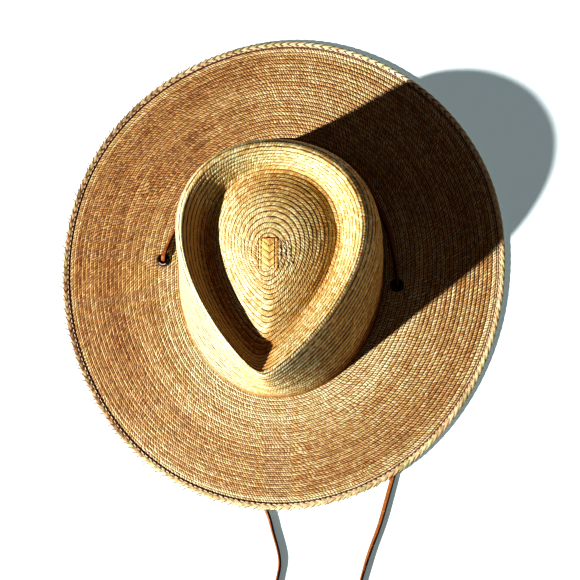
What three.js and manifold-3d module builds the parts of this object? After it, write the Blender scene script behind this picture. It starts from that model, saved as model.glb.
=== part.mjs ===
import * as THREE from 'three';
import { mergeVertices } from 'three/addons/utils/BufferGeometryUtils.js';
import Module from 'manifold-3d';

// A sewn palm straw fedora with a teardrop crown, a wide flat brim, a raised plait round the edge,
// two black eyelets and a leather lace. Millimetres, +Z up, the wearer's front along -Y.
// The origin is the middle of the brim, on the surface that the hat rests on.

// Straw
const CROWN_WALL = 2.0;
const BRIM_THICKNESS = 2.4;
const SEAM_GAP = 0.3;
const CROWN_COLUMNS = 56;
const BRIM_COLUMNS = 72;

// Heights of the brim's underside above the surface
const BRIM_INNER_LIFT = 8.0;
const BRIM_OUTER_LIFT = 0.9;
const BRIM_LEVEL_PART = 0.3;
const BRIM_TOP = BRIM_INNER_LIFT + BRIM_THICKNESS;
const HEAD_OPENING_MARGIN = 4.0;

// The front of the brim lifts a little, and the laces come out under it
const FRONT_LIFT = { height: 4.2, middle: 284, halfWidth: 60 };

// The raised plait sewn round the brim's edge
const EDGE_WIDTH = 5.0;
const EDGE_HEIGHT = 4.4;
const EDGE_CORNER = 1.2;

// The rings of the crown from the brim up over the crest, down into the crease and up the dome.
// Each is an oval of its own half width and reach, drawn to a point in front as far as taper says,
// and its front leans to the wearer's left, as hand-shaped straw does.
const CROWN_FOOT = BRIM_TOP + SEAM_GAP;
const RING_COLUMNS = ['halfWidth', 'back', 'front', 'taper', 'lean', 'zBack', 'zSide', 'zFront'];
const CROWN_RINGS = {
  foot: [86.5, 103.5, 107.7, 0.0, 0.0, CROWN_FOOT, CROWN_FOOT, CROWN_FOOT],
  break: [84.8, 102.0, 106.2, 0.02, 0.0, 18.0, 18.0, 18.0],
  wall: [83.0, 98.5, 102.6, 0.34, 1.0, 50.0, 50.0, 48.0],
  pinch: [80.2, 94.5, 99.6, 0.68, 2.0, 78.0, 79.0, 74.0],
  shoulder: [76.8, 90.4, 97.6, 0.80, 2.5, 95.0, 97.0, 89.0],
  crest: [70.5, 83.4, 94.3, 0.84, 3.0, 104.0, 108.0, 99.0],
  lip: [65.8, 78.0, 88.0, 0.80, 3.5, 101.0, 103.5, 97.0],
  slope: [57.5, 72.0, 77.0, 0.74, 4.0, 92.0, 91.0, 92.5],
  crease: [50.5, 66.5, 66.0, 0.70, 4.5, 87.5, 84.5, 88.0],
  domeSide: [40.0, 54.0, 50.0, 0.64, 4.0, 92.5, 90.5, 92.0],
  domeShoulder: [26.0, 37.0, 34.0, 0.50, 2.5, 97.5, 96.8, 97.0],
  domeTop: [12.0, 16.0, 16.0, 0.2, 0.5, 100.0, 99.6, 99.6],
};
const CROWN_APEX = { x: 0, y: 0, z: 100.3 };
const TIP_ROUNDING = 0.25;

// How far the brim's outline reaches from the middle, at each angle from +X towards +Y
const BRIM_OUTLINE = [
  { angle: 0, reach: 185.2 },
  { angle: 30, reach: 191.6 },
  { angle: 60, reach: 195.9 },
  { angle: 90, reach: 197.9 },
  { angle: 120, reach: 193.0 },
  { angle: 150, reach: 189.1 },
  { angle: 180, reach: 185.1 },
  { angle: 210, reach: 187.6 },
  { angle: 240, reach: 195.2 },
  { angle: 270, reach: 198.1 },
  { angle: 300, reach: 194.2 },
  { angle: 330, reach: 186.8 },
];

// Eyelets: a pressed ring with a flange above and below the brim
const EYELET_PLACES = {
  eyelet_left: { x: -98.6, y: 1.7 },
  eyelet_right: { x: 97.3, y: -8.5 },
};
const EYELET = { bore: 3.0, barrel: 3.7, topFlange: 5.5, bottomFlange: 5.0, topRise: 1.2, bottomRise: 0.9 };
const EYELET_SEGMENTS = 20;
const EYELET_HOLE_RADIUS = 4.0;

// The leather lace: a flat strip, over the brim behind the crown and in a loop below it
const LACE = { width: 3.8, thickness: 2.2, corner: 0.6 };
const LACE_BAND_STEPS = 1;
const CHIN_LACE_STEPS = 2;

const COLOURS = {
  crown: 0xd8b878,
  brim: 0xb98a55,
  edge: 0xc9a468,
  eyelet: 0x14120f,
  lace: 0x9a4f1e,
};

const DEGREE = Math.PI / 180;

function material(colour, roughness, metalness = 0) {
  return new THREE.MeshStandardMaterial({ color: colour, roughness, metalness });
}

function namedMesh(name, geometry, meshMaterial) {
  const mesh = new THREE.Mesh(geometry, meshMaterial);
  mesh.name = name;
  return mesh;
}

const crownRings = Object.values(CROWN_RINGS).map(
  (row) => Object.fromEntries(RING_COLUMNS.map((column, i) => [column, row[i]])),
);
const footRing = crownRings[0];

// How much the sides are drawn in at angle t, 0 at the front tip and PI at the back
function pointing(t, taper) {
  const rounded = (Math.sin(t / 2) ** 2 + TIP_ROUNDING ** 2) / (1 + TIP_ROUNDING ** 2);
  return rounded ** (taper / 2);
}

// The widest that the drawn-in sides get, so that halfWidth stays a true half width
function widest(taper) {
  let most = 0;
  for (let step = 0; step <= 90; step += 1) {
    const t = step * 2 * DEGREE;
    most = Math.max(most, Math.sin(t) * pointing(t, taper));
  }
  return most;
}

// A point of an oval ring at angle t, with its height blended between back, side and front
function ringPoint(ring, t) {
  const middle = (ring.back - ring.front) / 2;
  const half = (ring.back + ring.front) / 2;
  const along = Math.cos(t);
  const endHeight = along > 0 ? ring.zFront : ring.zBack;
  const leaning = ring.lean * ((1 + along) / 2) ** 2;
  return new THREE.Vector3(
    ring.halfWidth * Math.sin(t) * pointing(t, ring.taper) / widest(ring.taper) + leaning,
    middle - half * along,
    ring.zSide + (endHeight - ring.zSide) * along ** 2,
  );
}

// A smooth value between the second and third of four neighbours
function between(a, b, c, d, part) {
  const squared = part * part;
  const cubed = squared * part;
  const slope = (c - a) * part;
  const bend = (2 * a - 5 * b + 4 * c - d) * squared + (3 * b - a - 3 * c + d) * cubed;
  return b + (slope + bend) / 2;
}

function blendRings(rings, index, part) {
  const last = rings.length - 1;
  const four = [index - 1, index, index + 1, index + 2].map((i) => rings[Math.min(Math.max(i, 0), last)]);
  const blended = {};
  for (const key of RING_COLUMNS) {
    blended[key] = between(...four.map((ring) => ring[key]), part);
  }
  return blended;
}

// The listed rings with one smooth ring between each two
function smoothRings(rings) {
  const smooth = [];
  for (let index = 0; index < rings.length - 1; index += 1) {
    smooth.push(rings[index]);
    smooth.push(blendRings(rings, index, 0.5));
  }
  smooth.push(rings[rings.length - 1]);
  return smooth;
}

// One closed surface from rows of points; each row is a closed loop or a single point
function loftClosed(rows, isTube) {
  const positions = [];
  const starts = [];
  for (const row of rows) {
    starts.push(positions.length / 3);
    for (const point of row) positions.push(point.x, point.y, point.z);
  }
  const indices = [];
  const strips = isTube ? rows.length : rows.length - 1;
  for (let i = 0; i < strips; i += 1) {
    const below = rows[i];
    const above = rows[(i + 1) % rows.length];
    const columns = Math.max(below.length, above.length);
    for (let column = 0; column < columns; column += 1) {
      const next = (column + 1) % columns;
      const a = starts[i] + (below.length > 1 ? column : 0);
      const b = starts[i] + (below.length > 1 ? next : 0);
      const c = starts[(i + 1) % rows.length] + (above.length > 1 ? next : 0);
      const d = starts[(i + 1) % rows.length] + (above.length > 1 ? column : 0);
      if (a !== b) indices.push(a, b, c);
      if (c !== d) indices.push(a, c, d);
    }
  }
  const geometry = new THREE.BufferGeometry();
  geometry.setAttribute('position', new THREE.Float32BufferAttribute(positions, 3));
  geometry.setIndex(indices);
  return geometry;
}

// The direction straight out of a lofted sheet at one of its points
function outwardAt(rows, i, column) {
  const row = rows[i];
  const next = row[(column + 1) % row.length];
  const previous = row[(column - 1 + row.length) % row.length];
  const pointOf = (line) => (line.length > 1 ? line[column] : line[0]);
  const above = pointOf(rows[Math.min(i + 1, rows.length - 1)]);
  const below = pointOf(rows[Math.max(i - 1, 0)]);
  return next.clone().sub(previous).cross(above.clone().sub(below)).normalize();
}

// Crown: a hollow shell, the outer skin and an inner one a wall thickness behind it
function crownGeometry() {
  const outer = smoothRings(crownRings).map((ring) => {
    const row = [];
    for (let column = 0; column < CROWN_COLUMNS; column += 1) {
      row.push(ringPoint(ring, column * 2 * Math.PI / CROWN_COLUMNS));
    }
    return row;
  });
  outer.push([new THREE.Vector3(CROWN_APEX.x, CROWN_APEX.y, CROWN_APEX.z)]);
  const inner = outer.map((row, i) => row.map((point, column) => {
    if (row.length === 1) return point.clone().setZ(point.z - CROWN_WALL);
    const away = outwardAt(outer, i, column);
    if (i === 0) away.setZ(0).normalize();
    return point.clone().addScaledVector(away, -CROWN_WALL);
  }));
  return loftClosed([...inner.reverse(), ...outer], false);
}

// The brim's reach at an angle in degrees, smooth through the listed ones
function brimReach(angle) {
  const count = BRIM_OUTLINE.length;
  const step = 360 / count;
  const turned = ((angle % 360) + 360) % 360;
  const index = Math.floor(turned / step);
  const four = [index - 1, index, index + 1, index + 2].map((i) => BRIM_OUTLINE[(i + count) % count].reach);
  return between(...four, turned / step - index);
}

// How much the front lifts the brim's edge at an angle in degrees
function frontLift(angle) {
  const off = Math.abs(((angle - FRONT_LIFT.middle + 540) % 360) - 180);
  if (off >= FRONT_LIFT.halfWidth) return 0;
  return FRONT_LIFT.height * Math.cos(off / FRONT_LIFT.halfWidth * 90 * DEGREE) ** 2;
}

// The head opening's outline, and the brim's outer one in the same direction
function brimColumn(column) {
  const opening = {
    ...footRing,
    halfWidth: footRing.halfWidth - HEAD_OPENING_MARGIN,
    back: footRing.back - HEAD_OPENING_MARGIN,
    front: footRing.front - HEAD_OPENING_MARGIN,
  };
  const inner = ringPoint(opening, column * 2 * Math.PI / BRIM_COLUMNS).setZ(0);
  const angle = Math.atan2(inner.y, inner.x) / DEGREE;
  const direction = new THREE.Vector3(Math.cos(angle * DEGREE), Math.sin(angle * DEGREE), 0);
  return { inner, angle, direction };
}

// A point of the brim, part of the way from the head opening (0) to the edge plait (1)
function brimPoint(column, part, rise) {
  const { inner, angle, direction } = brimColumn(column);
  const outer = direction.clone().multiplyScalar(brimReach(angle) - EDGE_WIDTH - SEAM_GAP);
  const sloping = Math.max(part - BRIM_LEVEL_PART, 0) / (1 - BRIM_LEVEL_PART);
  const lift = BRIM_INNER_LIFT + (BRIM_OUTER_LIFT + frontLift(angle) - BRIM_INNER_LIFT) * sloping;
  return inner.clone().lerp(outer, part).setZ(lift + rise);
}

function brimGeometry(wasm) {
  const parts = [0, BRIM_LEVEL_PART, 0.65, 1];
  const sheet = (rise) => parts.map((part) => {
    const row = [];
    for (let column = 0; column < BRIM_COLUMNS; column += 1) row.push(brimPoint(column, part, rise));
    return row;
  });
  const section = [...sheet(0), ...sheet(BRIM_THICKNESS).reverse()];
  let solid = solidOf(wasm, loftClosed(section, true));
  for (const place of Object.values(EYELET_PLACES)) {
    const punch = new THREE.CylinderGeometry(
      EYELET_HOLE_RADIUS, EYELET_HOLE_RADIUS, 4 * BRIM_THICKNESS, EYELET_SEGMENTS,
    );
    punch.rotateX(Math.PI / 2);
    punch.translate(place.x, place.y, BRIM_INNER_LIFT + BRIM_THICKNESS / 2);
    solid = solid.subtract(solidOf(wasm, punch));
  }
  return geometryOf(solid);
}

// The edge plait: a ring with a flat underside and softened corners
function edgeGeometry() {
  const profile = [
    { out: 0, up: EDGE_CORNER },
    { out: EDGE_CORNER, up: 0 },
    { out: EDGE_WIDTH - EDGE_CORNER, up: 0 },
    { out: EDGE_WIDTH, up: EDGE_CORNER },
    { out: EDGE_WIDTH, up: EDGE_HEIGHT - EDGE_CORNER },
    { out: EDGE_WIDTH - EDGE_CORNER, up: EDGE_HEIGHT },
    { out: EDGE_CORNER, up: EDGE_HEIGHT },
    { out: 0, up: EDGE_HEIGHT - EDGE_CORNER },
  ];
  const rows = profile.map(({ out, up }) => {
    const row = [];
    for (let column = 0; column < BRIM_COLUMNS; column += 1) {
      const { angle, direction } = brimColumn(column);
      const radius = brimReach(angle) - EDGE_WIDTH + out;
      row.push(direction.clone().multiplyScalar(radius).setZ(frontLift(angle) + up));
    }
    return row;
  });
  return loftClosed(rows, true);
}

function eyeletGeometry() {
  const { bore, barrel, topFlange, bottomFlange, topRise, bottomRise } = EYELET;
  const top = BRIM_TOP + SEAM_GAP;
  const bottom = BRIM_INNER_LIFT - SEAM_GAP;
  const profile = [
    [bore, bottom - bottomRise * 0.6],
    [bore + 0.5, bottom - bottomRise],
    [bottomFlange - 0.6, bottom - bottomRise],
    [bottomFlange, bottom],
    [barrel, bottom],
    [barrel, top],
    [topFlange, top],
    [topFlange - 0.5, top + topRise * 0.7],
    [topFlange - 1.3, top + topRise],
    [bore + 0.5, top + topRise * 0.8],
    [bore, top + topRise * 0.3],
  ];
  const points = profile.map(([radius, height]) => new THREE.Vector2(radius, height));
  points.push(points[0].clone());
  const geometry = new THREE.LatheGeometry(points, EYELET_SEGMENTS);
  geometry.rotateX(Math.PI / 2);
  return geometry;
}

// A smooth route whose steps follow the listed points, close together where the lace bends
class LaceRoute extends THREE.CatmullRomCurve3 {
  getUtoTmapping(u) {
    return u;
  }
}

// Behind the crown, on top of the brim, from eyelet to eyelet
const LACE_BAND_ROUTE = [
  [-98.6, 1.7, 9.35],
  [-98.6, 2.0, 11.6],
  [-98.2, 4.2, 13.8],
  [-97.2, 8.5, 13.6],
  [-95.0, 15.5, 12.2],
  [-91.5, 24.0, 11.8],
  [-84.8, 38.0, 11.8],
  [-73.8, 60.4, 11.8],
  [-58.0, 81.6, 11.8],
  [-38.0, 97.0, 11.8],
  [-18.7, 104.8, 11.8],
  [0.0, 107.4, 11.8],
  [18.7, 104.8, 11.8],
  [38.0, 97.0, 11.8],
  [58.0, 81.6, 11.8],
  [74.6, 61.0, 11.8],
  [87.0, 38.5, 11.8],
  [93.6, 16.0, 11.8],
  [95.6, 4.0, 12.2],
  [96.4, -1.6, 13.6],
  [97.1, -6.0, 13.8],
  [97.3, -8.2, 11.6],
  [97.3, -8.5, 9.35],
];

// Down through the left eyelet, forward under the brim, round in a loop and back to the right one
const CHIN_LACE_ROUTE = [
  [-98.6, 1.7, 9.05],
  [-98.6, 1.5, 7.0],
  [-98.6, 0.2, 4.4],
  [-98.6, -3.6, 2.2],
  [-98.8, -12.0, 1.3],
  [-98.5, -38.0, 1.25],
  [-93.5, -72.0, 1.25],
  [-83.0, -104.0, 1.25],
  [-64.0, -133.0, 1.25],
  [-40.0, -158.0, 1.25],
  [-16.0, -180.0, 1.25],
  [0.5, -198.0, 1.25],
  [8.2, -217.0, 1.8],
  [14.8, -238.0, 2.4],
  [13.5, -256.0, 1.7],
  [10.0, -279.0, 1.25],
  [18.0, -303.0, 1.25],
  [41.0, -317.0, 1.25],
  [64.0, -307.0, 1.25],
  [75.5, -283.0, 1.25],
  [80.5, -255.0, 1.25],
  [86.5, -229.0, 1.25],
  [93.8, -205.0, 1.25],
  [99.0, -182.0, 1.25],
  [104.0, -158.0, 1.25],
  [109.0, -128.0, 1.25],
  [111.0, -95.0, 1.25],
  [107.5, -62.0, 1.25],
  [99.5, -36.0, 1.25],
  [97.3, -22.0, 1.3],
  [97.3, -13.8, 2.2],
  [97.3, -10.0, 4.4],
  [97.3, -8.7, 7.0],
  [97.3, -8.5, 9.05],
];

// The strip's section: its width along the shape's x, its thickness along y
function laceSection() {
  const x = LACE.width / 2;
  const y = LACE.thickness / 2;
  const corner = LACE.corner;
  const outline = [
    [x, y - corner], [x - corner, y], [corner - x, y], [-x, y - corner],
    [-x, corner - y], [corner - x, -y], [x - corner, -y], [x, corner - y],
  ];
  return new THREE.Shape(outline.map(([across, along]) => new THREE.Vector2(across, along)));
}

function laceGeometry(route, stepsBetween) {
  const path = new LaceRoute(route.map(([x, y, z]) => new THREE.Vector3(x, y, z)));
  const steps = (route.length - 1) * stepsBetween;
  return new THREE.ExtrudeGeometry(laceSection(), { steps, extrudePath: path, bevelEnabled: false });
}

function solidOf(wasm, geometry) {
  const bare = geometry.clone();
  bare.deleteAttribute('normal');
  bare.deleteAttribute('uv');
  const merged = mergeVertices(bare, 1e-4);
  return new wasm.Manifold(new wasm.Mesh({
    numProp: 3,
    vertProperties: new Float32Array(merged.attributes.position.array),
    triVerts: new Uint32Array(merged.index.array),
  }));
}

function geometryOf(solid) {
  const cut = solid.getMesh();
  const geometry = new THREE.BufferGeometry();
  geometry.setAttribute('position', new THREE.Float32BufferAttribute(cut.vertProperties, 3));
  geometry.setIndex(new THREE.Uint32BufferAttribute(cut.triVerts, 1));
  geometry.computeVertexNormals();
  return geometry;
}

const wasm = await Module();
wasm.setup();

const group = new THREE.Group();
group.add(namedMesh('crown', crownGeometry(), material(COLOURS.crown, 0.75)));
group.add(namedMesh('brim', brimGeometry(wasm), material(COLOURS.brim, 0.8)));
group.add(namedMesh('edge_plait', edgeGeometry(), material(COLOURS.edge, 0.75)));
for (const [name, place] of Object.entries(EYELET_PLACES)) {
  const eyelet = namedMesh(name, eyeletGeometry(), material(COLOURS.eyelet, 0.35, 0.8));
  eyelet.position.set(place.x, place.y, 0);
  group.add(eyelet);
}
const bandGeometry = laceGeometry(LACE_BAND_ROUTE, LACE_BAND_STEPS);
const chinGeometry = laceGeometry(CHIN_LACE_ROUTE, CHIN_LACE_STEPS);
group.add(namedMesh('lace_band', bandGeometry, material(COLOURS.lace, 0.55)));
group.add(namedMesh('chin_lace', chinGeometry, material(COLOURS.lace, 0.55)));

export default group;
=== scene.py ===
import math

import bpy
import numpy as np
from mathutils import Matrix, Vector


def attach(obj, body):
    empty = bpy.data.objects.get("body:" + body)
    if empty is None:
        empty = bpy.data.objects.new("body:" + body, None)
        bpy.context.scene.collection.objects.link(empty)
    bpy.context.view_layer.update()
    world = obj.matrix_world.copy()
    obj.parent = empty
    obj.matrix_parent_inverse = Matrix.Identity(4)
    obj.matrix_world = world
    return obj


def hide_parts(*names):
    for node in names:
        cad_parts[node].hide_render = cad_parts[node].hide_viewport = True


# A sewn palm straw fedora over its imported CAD. Metres, +Z up, the wearer's front along -Y.

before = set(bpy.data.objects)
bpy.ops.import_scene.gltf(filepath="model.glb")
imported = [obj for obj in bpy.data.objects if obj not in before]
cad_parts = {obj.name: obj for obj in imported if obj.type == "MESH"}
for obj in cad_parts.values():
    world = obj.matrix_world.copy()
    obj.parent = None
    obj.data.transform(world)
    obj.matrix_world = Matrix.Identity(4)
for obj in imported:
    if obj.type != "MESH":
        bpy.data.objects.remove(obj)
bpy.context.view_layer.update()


# Camera: a hand's breadth off straight above the hat, on its front right, and turned a little,
# so the crown leans away to the photograph's upper left.
CAMERA_PLACE = Vector((0.100, -0.160, 1.100))
CAMERA_TARGET = Vector((0.0083, -0.0161, 0.0))
CAMERA_ROLL = -0.0668
CAMERA_LENS = 82.6
SENSOR_WIDTH = 36.0
NEAREST_SEEN = 0.01

camera_data = bpy.data.cameras.new("camera")
camera_data.sensor_fit = "HORIZONTAL"
camera_data.sensor_width = SENSOR_WIDTH
camera_data.lens = CAMERA_LENS
camera_data.clip_start = NEAREST_SEEN
camera = bpy.data.objects.new("camera", camera_data)
backward = (CAMERA_PLACE - CAMERA_TARGET).normalized()
rolled_up = Vector((math.sin(CAMERA_ROLL), math.cos(CAMERA_ROLL), 0.0))
rightward = rolled_up.cross(backward).normalized()
upward = backward.cross(rightward)
camera.matrix_world = (
    Matrix.Translation(CAMERA_PLACE) @ Matrix((rightward, upward, backward)).transposed().to_4x4()
)
bpy.context.scene.collection.objects.link(camera)
bpy.context.scene.camera = camera
bpy.context.scene.view_settings.view_transform = "Standard"
bpy.context.scene.view_settings.look = "Very High Contrast"


# Light: one key from the hat's left and somewhat in front, a third of the way up the sky, which
# throws shadows with a slightly soft edge, and a dim, warm room all round.
KEY_AZIMUTH = math.radians(33.0)
KEY_HEIGHT = math.radians(30.0)
KEY_WIDTH = math.radians(1.6)
KEY_STRENGTH = 5.2
KEY_COLOUR = (1.0, 0.97, 0.92)
ROOM_STRENGTH = 0.10
ROOM_COLOUR = (1.0, 0.81, 0.72, 1.0)

key_data = bpy.data.lights.new("key", "SUN")
key_data.energy = KEY_STRENGTH
key_data.color = KEY_COLOUR
key_data.angle = KEY_WIDTH
key = bpy.data.objects.new("key", key_data)
towards_key = Vector((
    -math.cos(KEY_AZIMUTH) * math.cos(KEY_HEIGHT),
    -math.sin(KEY_AZIMUTH) * math.cos(KEY_HEIGHT),
    math.sin(KEY_HEIGHT),
))
key.rotation_euler = towards_key.to_track_quat("Z", "Y").to_euler()
bpy.context.scene.collection.objects.link(key)

room = bpy.data.worlds.new("room")
room.use_nodes = True
room.node_tree.nodes["Background"].inputs["Color"].default_value = ROOM_COLOUR
room.node_tree.nodes["Background"].inputs["Strength"].default_value = ROOM_STRENGTH
bpy.context.scene.world = room


# Laces: a strip of orange-brown leather 3.8 mm wide and 2.2 mm thick. One of its cut sides is dark
# brown, partly the leather's own darker cut edge and partly painted shade: the strip is turned so
# that this side faces away from the light. It lies on the brim behind the crown, goes down through
# both eyelets and makes a loop in front. Each route point is in millimetres, with the strip's turn
# in degrees, 0 where it lies flat and 90 on its edge.
LACE_WIDTH = 0.0038
LACE_THICKNESS = 0.0022
LACE_SQUARENESS = (0.45, 0.60)
LACE_CORNERS = 14
LACE_STEP = 0.0012
LACE_OVER_FLOOR = 0.0002

LACE_BAND_ROUTE = [
    (-98.6, 1.7, 9.35, 180),
    (-98.6, 2.0, 11.6, 180),
    (-98.2, 4.2, 13.8, 185),
    (-97.2, 8.5, 13.6, 205),
    (-95.0, 15.5, 12.2, 230),
    (-91.5, 24.0, 11.8, 238),
    (-84.8, 38.0, 11.8, 225),
    (-73.8, 60.4, 11.8, 195),
    (-58.0, 81.6, 11.8, 180),
    (-38.0, 97.0, 11.8, 180),
    (-18.7, 104.8, 11.8, 180),
    (0.0, 107.4, 11.8, 180),
    (18.7, 104.8, 11.8, 180),
    (38.0, 97.0, 11.8, 180),
    (58.0, 81.6, 11.8, 180),
    (74.6, 61.0, 11.8, 180),
    (87.0, 38.5, 11.8, 200),
    (93.6, 16.0, 11.8, 230),
    (95.6, 4.0, 12.2, 255),
    (96.4, -1.6, 13.6, 265),
    (97.1, -6.0, 13.8, 270),
    (97.3, -8.2, 11.6, 270),
    (97.3, -8.5, 9.35, 270),
]
CHIN_LACE_ROUTE = [
    (-98.6, 1.7, 9.05, 0),
    (-98.6, 1.5, 7.0, 0),
    (-98.6, 0.2, 4.4, 0),
    (-98.6, -3.6, 2.2, 0),
    (-98.8, -12.0, 1.3, 0),
    (-98.5, -38.0, 1.25, 0),
    (-93.5, -72.0, 1.25, 0),
    (-83.0, -104.0, 1.25, 0),
    (-64.0, -133.0, 1.25, 0),
    (-40.0, -158.0, 1.25, -10),
    (-16.0, -180.0, 1.25, -25),
    (0.5, -198.0, 1.25, -55),
    (8.2, -217.0, 1.8, -68),
    (14.8, -238.0, 2.4, -74),
    (13.5, -256.0, 1.7, -70),
    (10.0, -279.0, 1.25, -70),
    (18.0, -303.0, 1.25, -80),
    (41.0, -317.0, 1.25, -90),
    (64.0, -307.0, 1.25, -110),
    (75.5, -283.0, 1.25, -98),
    (80.5, -255.0, 1.25, -98),
    (86.5, -229.0, 1.25, -122),
    (93.8, -205.0, 1.25, -138),
    (99.0, -182.0, 1.25, -150),
    (104.0, -158.0, 1.25, -160),
    (109.0, -128.0, 1.25, -180),
    (111.0, -95.0, 1.25, -180),
    (107.5, -62.0, 1.25, -180),
    (99.5, -36.0, 1.25, -180),
    (97.3, -22.0, 1.3, -180),
    (97.3, -13.8, 2.2, -180),
    (97.3, -10.0, 4.4, -180),
    (97.3, -8.7, 7.0, -180),
    (97.3, -8.5, 9.05, -180),
]


class Value:
    """A socket of a node tree, so that shader maths reads as plain maths."""

    def __init__(self, tree, socket):
        self.tree = tree
        self.socket = socket

    def node(self, kind, settings, inputs, output=0):
        """Adds a node of that kind: its settings first, then its sockets by name or number. The
        result is the output of that number or name."""
        made = self.tree.nodes.new(kind)
        for name, setting in settings.items():
            setattr(made, name, setting)
        feed(self.tree, made, inputs)
        return Value(self.tree, made.outputs[output])

    def maths(self, operation, *others):
        return self.node("ShaderNodeMath", {"operation": operation}, dict(enumerate([self, *others])))

    def __add__(self, other):
        return self.maths("ADD", other)

    def __mul__(self, other):
        return self.maths("MULTIPLY", other)

    def __sub__(self, other):
        return self.maths("SUBTRACT", other)

    def __rsub__(self, other):
        return self * -1.0 + other

    __radd__ = __add__
    __rmul__ = __mul__

    def step(self, low, high):
        """Rises smoothly from 0 at low to 1 at high."""
        settings = {"interpolation_type": "SMOOTHSTEP"}
        ends = {"From Min": low, "From Max": high}
        return self.node("ShaderNodeMapRange", settings, {"Value": self, **ends})

    def mix(self, first, second, blend="MIX"):
        """The first colour where this value is 0, the second where it is 1."""
        settings = {"data_type": "RGBA", "blend_type": blend}
        return self.node("ShaderNodeMix", settings, {0: self, 6: first, 7: second}, 2)

    def axes(self):
        """A vector's x, y and z."""
        first = self.node("ShaderNodeSeparateXYZ", {}, {"Vector": self})
        return [Value(self.tree, socket) for socket in first.socket.node.outputs]

    def noise(self, scale, detail=2.0):
        """Soft noise from 0 to 1, where this value is the place in it."""
        inputs = {"Vector": self, "Scale": scale, "Detail": detail}
        return self.node("ShaderNodeTexNoise", {}, inputs)

    def vector(self, x, y, z=0.0):
        """A vector in the same material."""
        return self.node("ShaderNodeCombineXYZ", {}, {"X": x, "Y": y, "Z": z})


def feed(tree, node, inputs):
    """Links or sets a node's sockets."""
    for name, given in inputs.items():
        if isinstance(given, Value):
            tree.links.new(given.socket, node.inputs[name])
        else:
            node.inputs[name].default_value = given


def colour(red, green, blue):
    """A colour as it shows on a screen, 0 to 255, in the linear values that shaders take."""
    shares = [channel / 255 for channel in (red, green, blue)]
    return tuple(s / 12.92 if s < 0.04045 else ((s + 0.055) / 1.055) ** 2.4 for s in shares) + (1.0,)


def new_material(name):
    """A material, its Principled shader, and where a point is in the shared frame."""
    material = bpy.data.materials.new(name)
    material.use_nodes = True
    shader = material.node_tree.nodes["Principled BSDF"]
    place = Value(material.node_tree, None).node("ShaderNodeTexCoord", {}, {}, "Object")
    return material, shader, place


def new_piece(name, places, faces, material, node, slot, **layers):
    """A smooth mesh piece on the hat, which may replace a node of the CAD. Each layer is a UV map, a
    pair of numbers for each corner of a face."""
    mesh = bpy.data.meshes.new(name)
    mesh.from_pydata(places.tolist(), [], faces.tolist())
    mesh.polygons.foreach_set("use_smooth", np.ones(len(faces), bool))
    for layer, corners in layers.items():
        mesh.uv_layers.new(name=layer)
        mesh.uv_layers[layer].data.foreach_set("uv", corners.astype(np.float32).ravel())
    mesh.materials.append(material)
    mesh.update()
    piece = bpy.data.objects.new(name, mesh)
    bpy.context.scene.collection.objects.link(piece)
    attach(piece, "root")
    if node:
        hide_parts(node)
    return piece


def smooth_line(points, parts):
    """Points on a smooth line through the listed ones, at running numbers such as 2.5."""
    points = np.asarray(points, float)
    last = len(points) - 1
    index = np.clip(np.floor(parts).astype(int), 0, max(last - 1, 0))
    part = (parts - index)[..., None]
    a, b, c, d = (points[np.clip(index + step, 0, last)] for step in (-1, 0, 1, 2))
    slope = (c - a) * part
    bend = (2 * a - 5 * b + 4 * c - d) * part**2 + (3 * b - a - 3 * c + d) * part**3
    return b + (slope + bend) / 2


def lace_material():
    material, shader, place = new_material("lace_leather")
    _, round_it, _ = place.node("ShaderNodeUVMap", {"uv_map": "plait"}, {}).axes()
    grain = place.noise(900.0, 3.0)
    wear = place.noise(120.0, 2.0)
    # one cut side is dark brown: partly the leather's darker cut edge, partly painted shade on the side
    # turned from the light
    cut_side = (round_it - 0.5).maths("ABSOLUTE").step(0.10, 0.16)
    orange = wear.mix(colour(118, 68, 26), colour(150, 100, 48))
    brown = grain.mix(colour(40, 14, 8), colour(84, 34, 16))
    leather = cut_side.mix(brown, orange)
    fleck = grain.step(0.60, 0.70).mix(leather, colour(206, 138, 78))
    bump = place.node(
        "ShaderNodeBump", {}, {"Strength": 0.5, "Distance": 0.0003, "Height": grain + wear * 0.5},
    )
    roughness = grain * 0.25 + 0.42
    feed(material.node_tree, shader, {"Base Color": fleck, "Roughness": roughness, "Normal": bump})
    return material


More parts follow.
